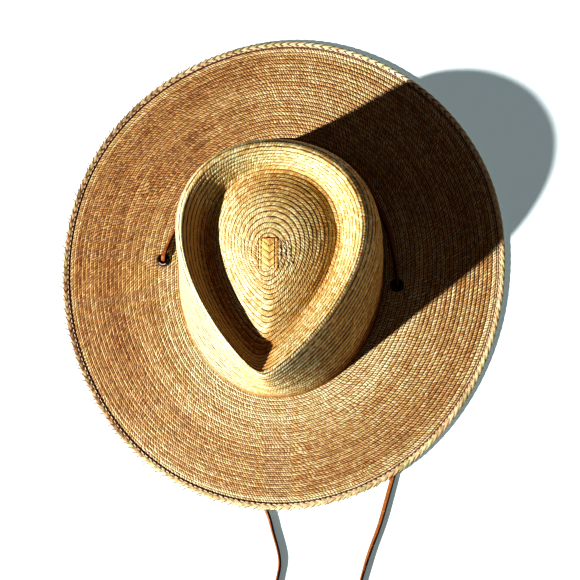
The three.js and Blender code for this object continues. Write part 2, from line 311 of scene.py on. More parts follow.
def lace(name, route, material):
    """Lays the strip along its route, with a ring of corners at each step. It stays level across
    where the route goes up or down."""
    listed = np.array(route)
    count = int(np.linalg.norm(np.diff(listed[:, :3], axis=0), axis=1).sum() / 1000 / LACE_STEP)
    line = smooth_line(listed, np.linspace(0, len(route) - 1, count))
    centres = line[:, :3] / 1000
    turn = np.radians(line[:, 3])
    half_height = np.abs(np.sin(turn)) * LACE_WIDTH / 2 + np.abs(np.cos(turn)) * LACE_THICKNESS / 2
    centres[:, 2] = np.maximum(centres[:, 2], half_height + LACE_OVER_FLOOR)
    ahead = np.gradient(centres, axis=0)
    ahead /= np.linalg.norm(ahead, axis=1)[:, None]
    across = np.cross(ahead, (0, 0, 1))
    level = np.linalg.norm(across, axis=1) > 0.5
    number = np.arange(count)
    for axis in range(3):
        across[:, axis] = np.interp(number, number[level], across[level, axis])
    across -= (across * ahead).sum(1)[:, None] * ahead
    across /= np.linalg.norm(across, axis=1)[:, None]
    above = np.cross(across, ahead)
    wide = np.cos(turn)[:, None] * across + np.sin(turn)[:, None] * above
    thick = np.cross(wide, ahead)
    around = np.linspace(0, 2 * math.pi, LACE_CORNERS, endpoint=False)
    x = np.sign(np.cos(around)) * np.abs(np.cos(around)) ** LACE_SQUARENESS[0] * LACE_WIDTH / 2
    y = np.sign(np.sin(around)) * np.abs(np.sin(around)) ** LACE_SQUARENESS[1] * LACE_THICKNESS / 2
    rings = centres[:, None] + wide[:, None] * x[:, None] + thick[:, None] * y[:, None]
    ring, corner = np.meshgrid(np.arange(count - 1), np.arange(LACE_CORNERS), indexing="ij")
    after = (corner + 1) % LACE_CORNERS
    faces = np.stack([
        ring * LACE_CORNERS + corner,
        ring * LACE_CORNERS + after,
        (ring + 1) * LACE_CORNERS + after,
        (ring + 1) * LACE_CORNERS + corner,
    ], -1).reshape(-1, 4)
    u = np.stack([ring, ring, ring + 1, ring + 1], -1) * LACE_STEP
    v = np.stack([corner, corner + 1, corner + 1, corner], -1) / LACE_CORNERS
    corners = np.stack([u, v], -1).reshape(-1, 2)
    piece = new_piece(
        f"{name}_strip", rings.reshape(-1, 3), faces, material, name, "lace_leather", plait=corners,
    )


leather = lace_material()
lace("lace_band", LACE_BAND_ROUTE, leather)
lace("chin_lace", CHIN_LACE_ROUTE, leather)


# Floor: a plain pale surface, wide enough for every view. It glows a little, a painted light that
# lifts its shadows, but not beneath the hat, so the eyelets' bores stay dark.
FLOOR_HALF = 6.0
FLOOR_GLOW = 0.149
FLOOR_GLOW_COLOUR = (0.70, 0.93, 1.0, 1.0)
UNDER_HAT = 0.13
PAST_HAT = 0.17


def floor_material():
    material, shader, place = new_material("floor_paint")
    mottle = place.noise(6.0, 3.0)
    pale = mottle.mix(colour(222, 234, 240), colour(226, 237, 242))
    x, y, _ = place.axes()
    past_hat = (x * x + y * y).step(UNDER_HAT**2, PAST_HAT**2)
    # painted glow that lifts the floor's shadows, left off beneath the hat
    glow = past_hat.mix(colour(0, 0, 0), FLOOR_GLOW_COLOUR)
    inputs = {"Base Color": pale, "Roughness": 0.9, "Emission Color": glow}
    feed(material.node_tree, shader, inputs)
    shader.inputs["Emission Strength"].default_value = FLOOR_GLOW
    return material


floor_mesh = bpy.data.meshes.new("floor")
floor_corners = [(-1, -1), (1, -1), (1, 1), (-1, 1)]
floor_places = [(x * FLOOR_HALF, y * FLOOR_HALF, 0) for x, y in floor_corners]
floor_mesh.from_pydata(floor_places, [], [(0, 1, 2, 3)])
floor_mesh.materials.append(floor_material())
floor = bpy.data.objects.new("floor", floor_mesh)
bpy.context.scene.collection.objects.link(floor)


# Crown: a pinched teardrop crown with a dome inside its crest. It is a flat braid of split palm leaf,
# sewn to itself row by row in one long spiral from the dome's middle down to the foot. Each row laps
# over the next one, its strands run aslant across it, and the wall's rows are wider than the dome's.
STRAND_WIDTH = 0.0024
STRAND_SEAM = 0.00076
ROW_DEPTH = 0.0007
ROW_WOBBLE = 0.00012
STRAW_BUMP = 0.0003
STRAW_SHEEN = 0.35
# the colour of the dark lines between strands and rows, partly dark joints and partly painted shade in
# the grooves
GAP = colour(66, 32, 14)
REDDISH = colour(255, 220, 200)
GREENISH = colour(222, 250, 204)


def straw_material(
    name, tones, tone_with_painted_light, slant, jitter, variety, streaks, strand_gap, row_gap,
    halves=2, row_line=lambda across: 0.36, tints=(), strand_width=STRAND_WIDTH,
    gap_share=lambda place: 1.0,
):
    """tones are the straw's colours from its darkest strands to its palest, and the function after
    them gives the tone at a place, with any painted light and shade in it. slant is how far a strand
    has run on at a part of its row, and jitter how unevenly it runs. variety is how much the strands
    differ, and streaks how much the rows do, which are braided of so many halves. The gaps say how dark
    it is between strands and between rows, 0 to 1; those dark lines are partly the straw's dark joints
    and partly painted shade in the grooves. row_line is the share of a row that its dark line takes,
    and gap_share how much of the strands' gaps is left at a place. Each tint is its share at a place
    and the colour that the straw is multiplied by; on the crown most tints are painted light and shade."""
    material, shader, place = new_material(name)

    # where a point is on its strand and on its row
    along, over, _ = place.node("ShaderNodeUVMap", {"uv_map": "plait"}, {}).axes()
    own_drift = place.vector(along * 0.21, over * 0.3).noise(1.0, 2.0)
    drift = place.noise(22.0, 2.0)
    wavy = over + (place.vector(along * 0.4, 0.0).noise(1.0, 2.0) - 0.5) * 0.3
    strand = along + slant(over) + (own_drift - 0.5) * jitter + (drift - 0.5) * jitter * 3.0
    number = strand.maths("FLOOR") + (over * halves).maths("FLOOR") * 0.37
    middle = strand.maths("PINGPONG", 0.5) * 2.0
    row_middle = wavy.maths("PINGPONG", 0.5) * 2.0
    half_middle = (over * halves).maths("PINGPONG", 0.5) * 2.0

    # the straw's colour, which differs by strand, row and patch, over the tone at each place with any
    # painted light and shade in it
    own = number.node("ShaderNodeTexWhiteNoise", {"noise_dimensions": "1D"}, {"W": number})
    hue = number.node("ShaderNodeTexWhiteNoise", {"noise_dimensions": "1D"}, {"W": number + 0.11})
    streak = place.vector(along * 0.012, over * 0.15).noise(1.0, 4.0)
    patch = place.noise(26.0, 3.0)
    fibres = place.vector(strand * 7.0, along * 0.35, over * 1.6).noise(1.0, 2.0)
    across = place.node("ShaderNodeUVMap", {"uv_map": "skin"}, {}).axes()[0]
    tone = tone_with_painted_light(place, across) + (own - 0.5) * variety
    tone = tone + (streak - 0.5) * streaks + (patch - 0.5) * 0.2
    tone = tone + (fibres - 0.5) * 0.3 + (place.noise(800.0, 2.0) - 0.5) * 0.8
    dark, tan, gold, pale = tones
    straw = tone.step(-0.1, 0.4).mix(dark, tan)
    straw = tone.step(0.2, 0.7).mix(straw, gold)
    straw = tone.step(0.5, 1.0).mix(straw, pale)
    straw = (hue - 0.5).maths("ABSOLUTE").mix(straw, hue.mix(REDDISH, GREENISH), "MULTIPLY")

    # the dark lines between strands, between rows, which break off here and there, and between halves:
    # partly the straw's dark joints and partly painted shade in the grooves
    seam = 2 * STRAND_SEAM / strand_width
    between_strands = (1.0 - middle.step(0.0, seam)) * (1.0 - half_middle.step(0.3, 1.0) * 0.5)
    between_strands = between_strands * gap_share(place)
    line_end = row_line(across)
    broken = place.vector(along * 0.35, (over + 0.5).maths("FLOOR") * 3.7).noise(1.0, 2.0).step(0.3, 0.6)
    between_rows = (1.0 - row_middle.step(line_end * 0.3, line_end)) * (0.35 + broken * 0.65)
    between_halves = (1.0 - half_middle.step(0.0, 0.45)) * 0.35 * strand_gap
    light = (1.0 - between_strands * strand_gap) * (1.0 - between_rows * row_gap) * (1.0 - between_halves)
    straw = light.mix(GAP, straw)
    for share, tint in tints:
        straw = share(place, across).mix(straw, tint, "MULTIPLY")

    height = middle.step(0.0, 0.8) * 0.55 + half_middle.step(0.0, 0.7) * 0.25 + fibres * 0.25
    bump = place.node(
        "ShaderNodeBump", {}, {"Strength": 1.0, "Distance": STRAW_BUMP, "Height": height},
    )
    roughness = 0.60 - tone * 0.12
    feed(material.node_tree, shader, {"Base Color": straw, "Roughness": roughness, "Normal": bump})
    shader.inputs["Specular IOR Level"].default_value = STRAW_SHEEN
    return material


def aslant(over):
    """How far a strand has run on along its row, from one edge of the row to the other."""
    return over * -1.15


def spiral(turns, columns, steps):
    """Numbers of a strip that winds round: its points' columns and places across the whole, its
    faces, and each face corner's column and place over its own row."""
    column, step = np.meshgrid(np.arange((turns + 2) * columns + 1), np.arange(steps), indexing="ij")
    place = np.clip((column / columns + step / steps - 1) / (turns - 1), 0, 1)
    first, step_first = np.meshgrid(np.arange(turns * columns), np.arange(steps), indexing="ij")
    wraps = step_first == steps - 1
    near = first * steps + step_first
    far = np.where(wraps, (first + columns) * steps, near + 1)
    faces = np.stack([near, near + steps, far + steps, far], -1).reshape(-1, 4)
    u = np.stack([first, first + 1, first + 1, first], -1).reshape(-1, 4)
    v = np.stack([step_first, step_first, step_first + 1, step_first + 1], -1).reshape(-1, 4) / steps
    real = np.ptp(place.reshape(-1)[faces], axis=1) > 1e-9
    return column.reshape(-1), step.reshape(-1) / steps, place.reshape(-1), faces[real], u[real], v[real]


def row_relief(over):
    """How deep a point of a row lies: it rises to the edge that laps over the next row."""
    return ROW_DEPTH * np.interp(over, [0, 0.25, 0.5, 0.8, 1.0], [0.95, 0.50, 0.22, 0.0, 0.95])


def wound_plait(
    name, surface, turns, columns, steps, material, node, slot,
    outward=1, holes=(), relief=lambda place: 1.0, lap=1,
):
    """A skin of plait wound over surface(place, turn), which takes 0 to 1 across and an angle.
    outward is 1 or -1 for the side that it shows, relief is the share of a row's depth at a place,
    lap says which edge of a row lies on top, and the plait is cut away in the holes."""
    column, over, place, faces, u, v = spiral(turns, columns, steps)
    angle = column / columns * 2 * math.pi
    base = surface(place, angle)
    inner = np.clip(place - 1e-3, 0, 1)
    outer = np.clip(place + 1e-3, 0, 1)
    rise = surface(outer, angle) - surface(inner, angle)
    run = surface(place, angle + 1e-3) - surface(place, angle - 1e-3)
    normal = np.cross(run, rise)
    normal /= np.maximum(np.linalg.norm(normal, axis=1), 1e-12)[:, None]
    wobble = np.sin(column * 0.137) * np.sin(column * 0.0411 + 1.3) * ROW_WOBBLE
    depth = row_relief(over if lap > 0 else 1 - over) * relief(place) + wobble
    points = base - outward * normal * depth[:, None]
    middle_row = base.reshape(-1, steps, 3)[:, steps // 2]
    lengths = np.linalg.norm(np.diff(middle_row, axis=0), axis=1)
    running = np.concatenate([[0], np.cumsum(lengths)]) / STRAND_WIDTH
    corners = np.stack([running[u], v], -1)
    across = np.stack([place[faces], place[faces]], -1)
    centre = points[faces].mean(1)
    keep = np.ones(len(faces), bool)
    for hole, radius in holes:
        keep &= np.hypot(centre[:, 0] - hole[0], centre[:, 1] - hole[1]) > radius
    faces = faces[keep]
    corners = corners[keep]
    across = across[keep]
    if outward < 0:
        faces = faces[:, ::-1]
        corners = corners[:, ::-1]
        across = across[:, ::-1]
    used, faces = np.unique(faces, return_inverse=True)
    faces = faces.reshape(-1, 4)
    new_piece(
        name, points[used], faces, material, node, slot,
        plait=corners.reshape(-1, 2), skin=across.reshape(-1, 2),
    )


CROWN_WALL = 0.002
CROWN_ROWS = 41
WALL_ROW_SHARE = 0.62
CROWN_RINGS = [
    # ovals drawn to a point in front as taper says, whose front leans to one side, in millimetres:
    # half width, reach behind and in front, taper, lean, height at the back, side and front
    (86.5, 103.5, 107.7, 0.0, 0.0, 10.5, 10.5, 10.5),
    (84.8, 102.0, 106.2, 0.02, 0.0, 18.0, 18.0, 18.0),
    (83.0, 98.5, 102.6, 0.34, 1.0, 50.0, 50.0, 48.0),
    (80.2, 94.5, 99.6, 0.68, 1.0, 78.0, 79.0, 74.0),
    (76.8, 90.4, 97.6, 0.80, 0.5, 95.0, 96.5, 89.0),
    (70.5, 83.4, 94.3, 0.84, 0.0, 104.0, 106.2, 99.0),
    (65.8, 78.0, 89.5, 0.80, -2.5, 101.0, 102.0, 96.5),
    (57.5, 72.0, 81.5, 0.76, -4.5, 92.0, 91.0, 90.3),
    (50.5, 66.5, 72.0, 0.74, -3.5, 87.5, 84.5, 86.5),
    (40.0, 54.0, 56.0, 0.68, 0.5, 92.5, 90.5, 91.0),
    (26.0, 37.0, 34.0, 0.50, 2.5, 97.5, 96.8, 97.0),
    (12.0, 18.0, 18.0, 0.2, 0.5, 100.0, 99.6, 99.6),
    (0.3, 8.0, 8.0, 0.0, 0.0, 100.3, 100.3, 100.3),
]
CREST_RING = 5
TIP_ROUNDING = 0.25
# halfway up, the wall is pressed towards the front right, most of all behind
WALL_SHIFT = 0.007
WALL_SHIFT_DIRECTION = (0.56, -0.83)
WALL_SHIFT_TOP = 4.7
WALL_SHIFT_SHARE = 0.6
WALL_SHIFT_MORE_BEHIND = 0.4
START_MIDDLE = (-0.0024, -0.0018)
DOME_RING = 8.5
START_RING = 11.0


def drawn_in(turn, taper):
    """How much the sides are drawn in at an angle, 0 at the front tip and pi at the back."""
    rounded = (np.sin(turn / 2) ** 2 + TIP_ROUNDING**2) / (1 + TIP_ROUNDING**2)
    return rounded ** (taper / 2)


def ring_points(rings, turn):
    """Points of ovals, one row of ring values for each angle. However much an oval is drawn in, it
    keeps its half width."""
    half_width, back, front, taper, lean, z_back, z_side, z_front = np.moveaxis(rings, -1, 0)
    tapers = np.linspace(0, 1, 41)
    half_turn = np.radians(np.arange(0, 181, 2))
    widest = [(np.sin(half_turn) * drawn_in(half_turn, t)).max() for t in tapers]
    along = np.cos(turn)
    z_end = np.where(along > 0, z_front, z_back)
    x = half_width * np.sin(turn) * drawn_in(turn, taper) / np.interp(taper, tapers, widest)
    x = x + lean * ((1 + along) / 2) ** 2
    y = (back - front) / 2 - (back + front) / 2 * along
    z = z_side + (z_end - z_side) * along**2
    return np.stack([x, y, z], -1) / 1000


def crown_skin(inset):
    """The crown's skin as a function of the place up and in along it, 0 at the foot to 1 at the top
    of the dome, so far inside the outer skin. The rows' widths are measured on a grid of it."""
    rings = np.array(CROWN_RINGS)
    last = len(rings) - 1
    levels = 241
    sides = 24
    numbers = np.linspace(0, last, levels)
    turns = np.linspace(0, 2 * math.pi, sides, endpoint=False)
    grid_rings = smooth_line(rings, numbers)[:, None].repeat(sides, 1)
    grid = ring_points(grid_rings, turns[None].repeat(levels, 0))
    lengths = np.linalg.norm(np.diff(grid, axis=0), axis=2).mean(1)
    row_ends = [0, CREST_RING, CREST_RING + 1, last]
    share = np.interp(numbers[1:], row_ends, [WALL_ROW_SHARE, WALL_ROW_SHARE, 1, 1])
    travelled = np.concatenate([[0], np.cumsum(lengths * share)])
    travelled /= travelled[-1]

    def skin(place, angle):
        number = np.interp(place, travelled, numbers)
        points = skin_at(number, angle)
        if not inset:
            return points
        step = 1e-3
        up = skin_at(number + 0.02, angle) - skin_at(number - 0.02, angle)
        run = skin_at(number, angle + step) - skin_at(number, angle - step)
        out = np.cross(run, up)
        out /= np.maximum(np.linalg.norm(out, axis=1), 1e-12)[:, None]
        return points - out * inset

    def skin_at(number, angle):
        points = ring_points(smooth_line(rings, np.clip(number, 0, last)), angle)
        to_start = np.clip((number - DOME_RING) / (START_RING - DOME_RING), 0, 1)[..., None]
        points[..., :2] += np.array(START_MIDDLE) * to_start
        halfway_up = np.sin(np.clip(number / WALL_SHIFT_TOP, 0, 1) * math.pi)[..., None] ** 2
        direction = np.array(WALL_SHIFT_DIRECTION)
        outwards = points[..., :2] @ direction / np.linalg.norm(points[..., :2], axis=-1)
        round_it = WALL_SHIFT_SHARE - WALL_SHIFT_MORE_BEHIND * outwards[..., None]
        points[..., :2] += direction * WALL_SHIFT * halfway_up * round_it
        return points

    return skin


def on_left(place):
    """1 on the crown's left and front left, which face the light, and 0 elsewhere."""
    x, y, _ = place.axes()
    return 1.0 - (x * 1000.0 + y * 350.0).step(-70.0, -40.0)


def crown_tone_and_painted_light(place, upward):
    """Paler on the left and on the crest, darker at the foot, behind and to the right. The paleness
    on the left wall is painted light where it faces the light, the darkness to the right is painted
    shade where it faces away, and the crease's outer side under the lip is painted paler, a painted
    bounce light. The wall's rows and those in the crease are of different straw."""
    x, y, _ = place.axes()
    on_wall = 1.0 - upward.step(0.36, 0.46)
    row_tone = place.vector(upward * 46.0, x * 6.0, y * 6.0).noise(1.0, 2.0) - 0.5
    on_crest = upward.step(0.38, 0.42) - upward.step(0.54, 0.60)
    # painted shade: darker to the right, which faces away from the light
    painted_shade_to_right = (x * 1000.0 - y * 500.0).step(0.0, 60.0) * (1.0 - on_wall * 0.6)
    at_foot = 1.0 - upward.step(0.02, 0.07)
    tone = 0.72 + row_tone * on_wall * (0.8 - on_left(place) * 0.6) - painted_shade_to_right * 0.2
    behind = (y * 1000.0).step(20.0, 60.0)
    in_crease = left_crease_painted_shade(place, upward)
    # painted bounce light: paler on the crease's outer side, under the lip, on the left
    painted_bounce_under_lip = in_crease * (1.0 - upward.step(0.50, 0.56))
    # paler on the crest; on the left wall, which faces the light, paler still, which is painted light
    tone = tone + on_crest * 0.13 + on_wall * on_left(place) * 0.25 + row_tone * in_crease * 2.6
    return tone + painted_bounce_under_lip * 0.8 - at_foot * 0.4 - behind * 0.14


def crown_row_line(upward):
    """The rows' lines are widest on the wall, and finest in the crease."""
    in_crease = upward.step(0.46, 0.50) - upward.step(0.62, 0.68)
    return 0.76 - upward.step(0.36, 0.46) * 0.42 - in_crease * 0.10


def left_crease_painted_shade(place, upward):
    """How much painted warm shade the crease's outer side takes on the left, where it lies in shade."""
    x, y, _ = place.axes()
    outer_side = upward.step(0.425, 0.445) - upward.step(0.60, 0.66)
    return outer_side * (1.0 - (x * 1000.0 + y * 600.0).step(-46.0, -24.0)) * 0.7


def on_back_crest(place, upward):
    """1 on the crest behind, whose straw is a little greener."""
    x, y, _ = place.axes()
    on_crest = upward.step(0.36, 0.40) - upward.step(0.56, 0.62)
    return on_crest * (y * 1000.0 + x * 400.0).step(20.0, 60.0)


def left_wall_painted_shade(place, upward):
    """1 on the wall's left, which faces the light: its grey tint is painted shade that tones the strong
    light down.
    """
    return on_left(place) * (1.0 - upward.step(0.38, 0.42))


def right_wall_painted_shade(place, upward):
    """1 on the wall's right, which faces away from the light: its warm tint is painted shade."""
    x, y, _ = place.axes()
    return (x * 1000.0 + y * 300.0).step(0.0, 40.0) * (1.0 - upward.step(0.39, 0.43))


crown_straw = straw_material(
    "crown_straw",
    (colour(142, 90, 46), colour(186, 142, 88), colour(210, 182, 126), colour(242, 237, 208)),
    crown_tone_and_painted_light,
    aslant,
    jitter=2.4,
    variety=0.35,
    streaks=0.5,
    strand_gap=0.25,
    row_gap=0.93,
    row_line=crown_row_line,
    tints=[
        # painted warm shade in the left crease, greener straw on the back crest, and painted shade on the
        # lit left wall and on the shaded right wall
        (left_crease_painted_shade, colour(255, 206, 130)),
        (on_back_crest, colour(240, 246, 244)),
        (left_wall_painted_shade, colour(210, 208, 210)),
        (right_wall_painted_shade, colour(255, 230, 186)),
    ],
)
wound_plait(
    "crown_plait", crown_skin(0.0), CROWN_ROWS + 1, 480, 4, crown_straw, "crown", "crown_straw",
    relief=lambda place: np.interp(place, [0.0, 0.5, 0.7, 1.0], [1.0, 1.0, 0.45, 0.45]),
    lap=-1,
)
wound_plait(
    "crown_lining", crown_skin(CROWN_WALL), CROWN_ROWS + 1, 200, 2, crown_straw, None, "crown_straw",
    outward=-1, relief=lambda place: 0.5,
)


# Brim: wide and nearly flat, level near the crown and then sloping down to the edge, whose front
# lifts a little. It is the same plait, wound outwards, and it shows on both sides. Its last row dips
# into the groove along the edge braid, and both eyelet holes go through it.
BRIM_ROWS = 28
BRIM_THICKNESS = 0.0024
BRIM_UNDER = 0.0080
BRIM_EDGE_UNDER = 0.0009
BRIM_LEVEL_PART = 0.3
BRIM_BEND = 0.004
HEAD_OPENING_MARGIN = 0.004
GROOVE_DEPTH = 0.0004
GROOVE_BEGINS = 0.980
GROOVE_RUN = 0.015
EDGE_WIDTH = 0.0050
BRIM_UNDER_EDGE = 0.0006
FRONT_LIFT = 0.0042
FRONT_LIFT_MIDDLE = math.radians(284)
FRONT_LIFT_HALF = math.radians(60)
BRIM_REACH = [  # from the middle, every 30 degrees from +X towards +Y, in millimetres
    185.2, 191.6, 195.9, 197.9, 193.0, 189.1, 185.1, 187.6, 195.2, 198.1, 194.2, 186.8,
]
EYELET_PLACES = {"eyelet_left": (-0.0986, 0.0017), "eyelet_right": (0.0973, -0.0085)}
BRIM_HOLE = 0.0042


def brim_reach(direction):
    """How far the brim reaches in a direction, round a smooth line through the listed ones."""
    cyclic = np.array(BRIM_REACH[-1:] + BRIM_REACH + BRIM_REACH[:2])[:, None] / 1000
    number = (direction / math.radians(30)) % 12
    return smooth_line(cyclic, number + 1)[..., 0]


def front_lift(direction):
    """How far the edge is lifted in a direction."""
    off = np.abs((direction - FRONT_LIFT_MIDDLE + 3 * math.pi) % (2 * math.pi) - math.pi)
    share = np.clip(off / FRONT_LIFT_HALF, 0, 1)
    return FRONT_LIFT * np.cos(share * math.pi / 2) ** 2


def brim_skin(height):
    """The brim's skin, so high over its underside, from 0 at the head opening to 1 at the edge."""
    foot = np.array(CROWN_RINGS[0])
    opening = foot - np.array([1, 1, 1, 0, 0, 0, 0, 0]) * HEAD_OPENING_MARGIN * 1000

    def skin(place, angle):
        inner = ring_points(np.broadcast_to(opening, (*np.shape(angle), 8)), angle)
        direction = np.arctan2(inner[..., 1], inner[..., 0])
        reach = brim_reach(direction) - EDGE_WIDTH + BRIM_UNDER_EDGE
        outer = np.stack([reach * np.cos(direction), reach * np.sin(direction)], -1)
        part = np.clip(place, 0, 1)[..., None]
        flat = inner[..., :2] * (1 - part) + outer * part
        bend = place - BRIM_LEVEL_PART
        sloping = (bend + np.sqrt(bend**2 + BRIM_BEND)) / 2 / (1 - BRIM_LEVEL_PART)
        z = BRIM_UNDER + (BRIM_EDGE_UNDER + front_lift(direction) - BRIM_UNDER) * sloping
        z = z - GROOVE_DEPTH * np.clip((place - GROOVE_BEGINS) / GROOVE_RUN, 0, 1) * (height > 0)
        return np.concatenate([flat, (z + height)[..., None]], -1)

    return skin


def brim_tone_and_painted_light(place, outward):
    """Paler near the crown, partly a painted reflection of the lit crown, but not behind it, darker on
    the left, with a pale row near the edge and painted shade in the groove beyond it.
    """
    x, y, _ = place.axes()
    from_left = (x * -1000.0 + y * 250.0).step(20.0, 130.0)
    # paler near the crown, partly a painted reflection of the lit crown
    near_crown = (1.0 - outward.step(0.0, 0.7)) * (1.0 - (y * 1000.0).step(30.0, 90.0) * 1.2)
    # a pale row, then painted shade where the brim dips into the groove
    pale_row_and_groove_shade = outward.step(0.925, 0.945) - outward.step(0.982, 0.990) * 1.2
    behind = (y * 1000.0).step(60.0, 150.0)
    return 0.54 + near_crown * 0.24 - from_left * 0.23 + behind * 0.06 + pale_row_and_groove_shade * 0.22


brim_straw = straw_material(
    "brim_straw",
    (colour(134, 96, 66), colour(188, 149, 108), colour(218, 187, 140), colour(246, 240, 210)),
    brim_tone_and_painted_light,
    aslant,
    jitter=2.4,
    variety=0.4,
    streaks=0.9,
    strand_gap=0.95,
    row_gap=0.80,
    row_line=lambda across: 0.32,
)
brim_holes = [(place, BRIM_HOLE) for place in EYELET_PLACES.values()]
wound_plait(
    "brim_plait", brim_skin(BRIM_THICKNESS), BRIM_ROWS + 1, 600, 4, brim_straw, "brim",
    "brim_straw", outward=-1, holes=brim_holes,
    relief=lambda place: np.interp(place, [0.0, 0.95, 0.98, 1.0], [1.0, 1.0, 0.3, 0.3]),
)
wound_plait(
    "brim_underside", brim_skin(0.0), BRIM_ROWS + 1, 360, 2, brim_straw, None, "brim_straw",
    holes=brim_holes, relief=lambda place: 0.5,
)


# Edge plait: a thicker, rounder braid sewn round the brim's edge. Its strands fold over along a line
# on its top, and on the left their broken ends stick out. The thread that holds it shows as pale
# stitches along the groove, and a dark line of thread in the groove is partly painted shade.
EDGE_HEIGHT = 0.0040
EDGE_STRAND = 0.0069
EDGE_RELIEF = 0.0005
EDGE_FOLD = 0.76
EDGE_SLANT = 4.5
EDGE_ROUNDNESS = 0.8
EDGE_COLUMNS = 1500
EDGE_CORNERS = 28
MEAN_REACH = 0.191
GROOVE_INSIDE = EDGE_WIDTH + 0.0003
GROOVE_HEIGHT = 0.0034
GROOVE_WIDTH = 0.0008
STITCH_INSIDE = EDGE_WIDTH - 0.0004
STITCH_HEIGHT = 0.0041
STITCH_PITCH = 0.0044
STITCH_LENGTH = 0.0030
STITCH_WIDTH = 0.0008
FRAY_PITCH = EDGE_STRAND / MEAN_REACH * 0.75
FRAY_JITTER = 0.004
FRAY_LEAN = (0.016, 0.040)
FRAY_OUT = (0.0008, 0.0036)
FRAY_WIDTH = 0.0008
FRAYED_TURN = math.radians(205)


def threads(name, lines, width, material, slot):
    """Thin round threads with narrow ends, each along its own line of points."""
    sides = 6
    around = np.arange(sides) / sides * 2 * math.pi
    places = []
    faces = []
    for line in lines:
        ahead = np.gradient(line, axis=0)
        ahead /= np.linalg.norm(ahead, axis=1)[:, None]
        across = np.cross(ahead, (0, 0, 1))
        across /= np.linalg.norm(across, axis=1)[:, None]
        above = np.cross(across, ahead)
        narrow = np.sin(np.linspace(0.3, math.pi - 0.3, len(line))) ** 0.5
        spokes = np.cos(around)[:, None] * across[:, None] + np.sin(around)[:, None] * above[:, None]
        start = sum(len(ring) for ring in places)
        places.append((line[:, None] + spokes * (narrow * width / 2)[:, None, None]).reshape(-1, 3))
        ring, side = np.meshgrid(np.arange(len(line) - 1), np.arange(sides), indexing="ij")
        after = (side + 1) % sides
        faces.append(start + np.stack([
            ring * sides + side,
            ring * sides + after,
            (ring + 1) * sides + after,
            (ring + 1) * sides + side,
        ], -1).reshape(-1, 4))
    new_piece(name, np.concatenate(places), np.concatenate(faces), material, None, slot)


def thread_material(name, first, second):
    material, shader, place = new_material(name)
    worn = place.noise(800.0, 2.0)
    roughness = worn * 0.2 + 0.6
    feed(material.node_tree, shader, {"Base Color": worn.mix(first, second), "Roughness": roughness})
    return material


def edge_folded(over):
    """The strands run back from the fold on both sides, so they make arrowheads along the braid."""
    return (over - EDGE_FOLD).maths("ABSOLUTE") * EDGE_SLANT


def edge_gap_share(place):
    """The strands show most behind and on the left, and less on the front right."""
    x, y, _ = place.axes()
    return 1.0 - (x * 1000.0 - y * 1000.0).step(-60.0, 120.0) * 0.7


def edge_tone_and_painted_light(place, _):
    """Darker on the left, and paler behind, which is painted light on the braid's side that faces away
    from the light.
    """
    x, y, _ = place.axes()
    to_left = 1.0 - (x * 1000.0 - y * 300.0).step(-130.0, 0.0)
    # painted light: paler behind
    behind = (y * 1000.0 + x * 300.0).step(60.0, 150.0)
    return place.noise(40.0, 2.0) * 0.3 + 0.52 - to_left * 0.36 + behind * 0.34


edge_straw = straw_material(
    "edge_straw",
    (colour(104, 80, 60), colour(170, 148, 118), colour(206, 188, 152), colour(240, 230, 202)),
    edge_tone_and_painted_light,
    edge_folded,
    jitter=0.6,
    variety=0.25,
    streaks=0.3,
    strand_gap=0.95,
    row_gap=0.97,
    halves=1,
    row_line=lambda across: 0.20,
    strand_width=EDGE_STRAND * 0.4,
    gap_share=edge_gap_share,
)


def edge_plait():
    """A ring of braid. Its section starts at its inner side and goes round below it."""
    angle = np.linspace(0, 2 * math.pi, EDGE_COLUMNS + 1)
    around = np.linspace(-math.pi, math.pi, EDGE_CORNERS + 1)
    reach = brim_reach(angle)
    centre = np.stack([reach * np.cos(angle), reach * np.sin(angle)], -1)
    lengths = np.linalg.norm(np.diff(centre, axis=0), axis=1)
    travelled = np.concatenate([[0], np.cumsum(lengths)])
    strands = round(travelled[-1] / EDGE_STRAND)
    running = travelled / travelled[-1] * strands
    share = (around + math.pi) / (2 * math.pi)
    strand = running[:, None] + np.abs(share[None] - EDGE_FOLD) * EDGE_SLANT
    middle = 1 - np.abs(strand % 1 * 2 - 1)
    bulge = EDGE_RELIEF * (np.sqrt(middle) - 0.75) * (0.6 + 0.4 * np.cos(around))[None]
    x = np.sign(np.cos(around)) * np.abs(np.cos(around)) ** EDGE_ROUNDNESS
    z = np.sign(np.sin(around)) * np.abs(np.sin(around)) ** EDGE_ROUNDNESS
    out = reach[:, None] - EDGE_WIDTH / 2 + (EDGE_WIDTH / 2 + bulge) * x
    middle_height = front_lift(angle)[:, None] + EDGE_HEIGHT / 2 + EDGE_RELIEF / 2
    up = middle_height + (EDGE_HEIGHT / 2 + bulge * 0.5) * z
    places = np.stack([out * np.cos(angle)[:, None], out * np.sin(angle)[:, None], up], -1)
    column, corner = np.meshgrid(np.arange(EDGE_COLUMNS), np.arange(EDGE_CORNERS), indexing="ij")
    after = (column + 1) % EDGE_COLUMNS
    above = (corner + 1) % EDGE_CORNERS
    faces = np.stack([
        column * EDGE_CORNERS + corner,
        after * EDGE_CORNERS + corner,
        after * EDGE_CORNERS + above,
        column * EDGE_CORNERS + above,
    ], -1).reshape(-1, 4)
    u = running[np.stack([column, column + 1, column + 1, column], -1)]
    v = share[np.stack([corner, corner, corner + 1, corner + 1], -1)]
    corners = np.stack([u, v], -1).reshape(-1, 2)
    places = places[:-1, :-1].reshape(-1, 3)
    new_piece("edge_braid", places, faces, edge_straw, "edge_plait", "edge_straw", plait=corners)


def rim_line(angle, inside, height):
    """Points along the brim's edge, so far inside it and so high over its underside."""
    reach = brim_reach(angle) - inside
    return np.stack([reach * np.cos(angle), reach * np.sin(angle), front_lift(angle) + height], -1)


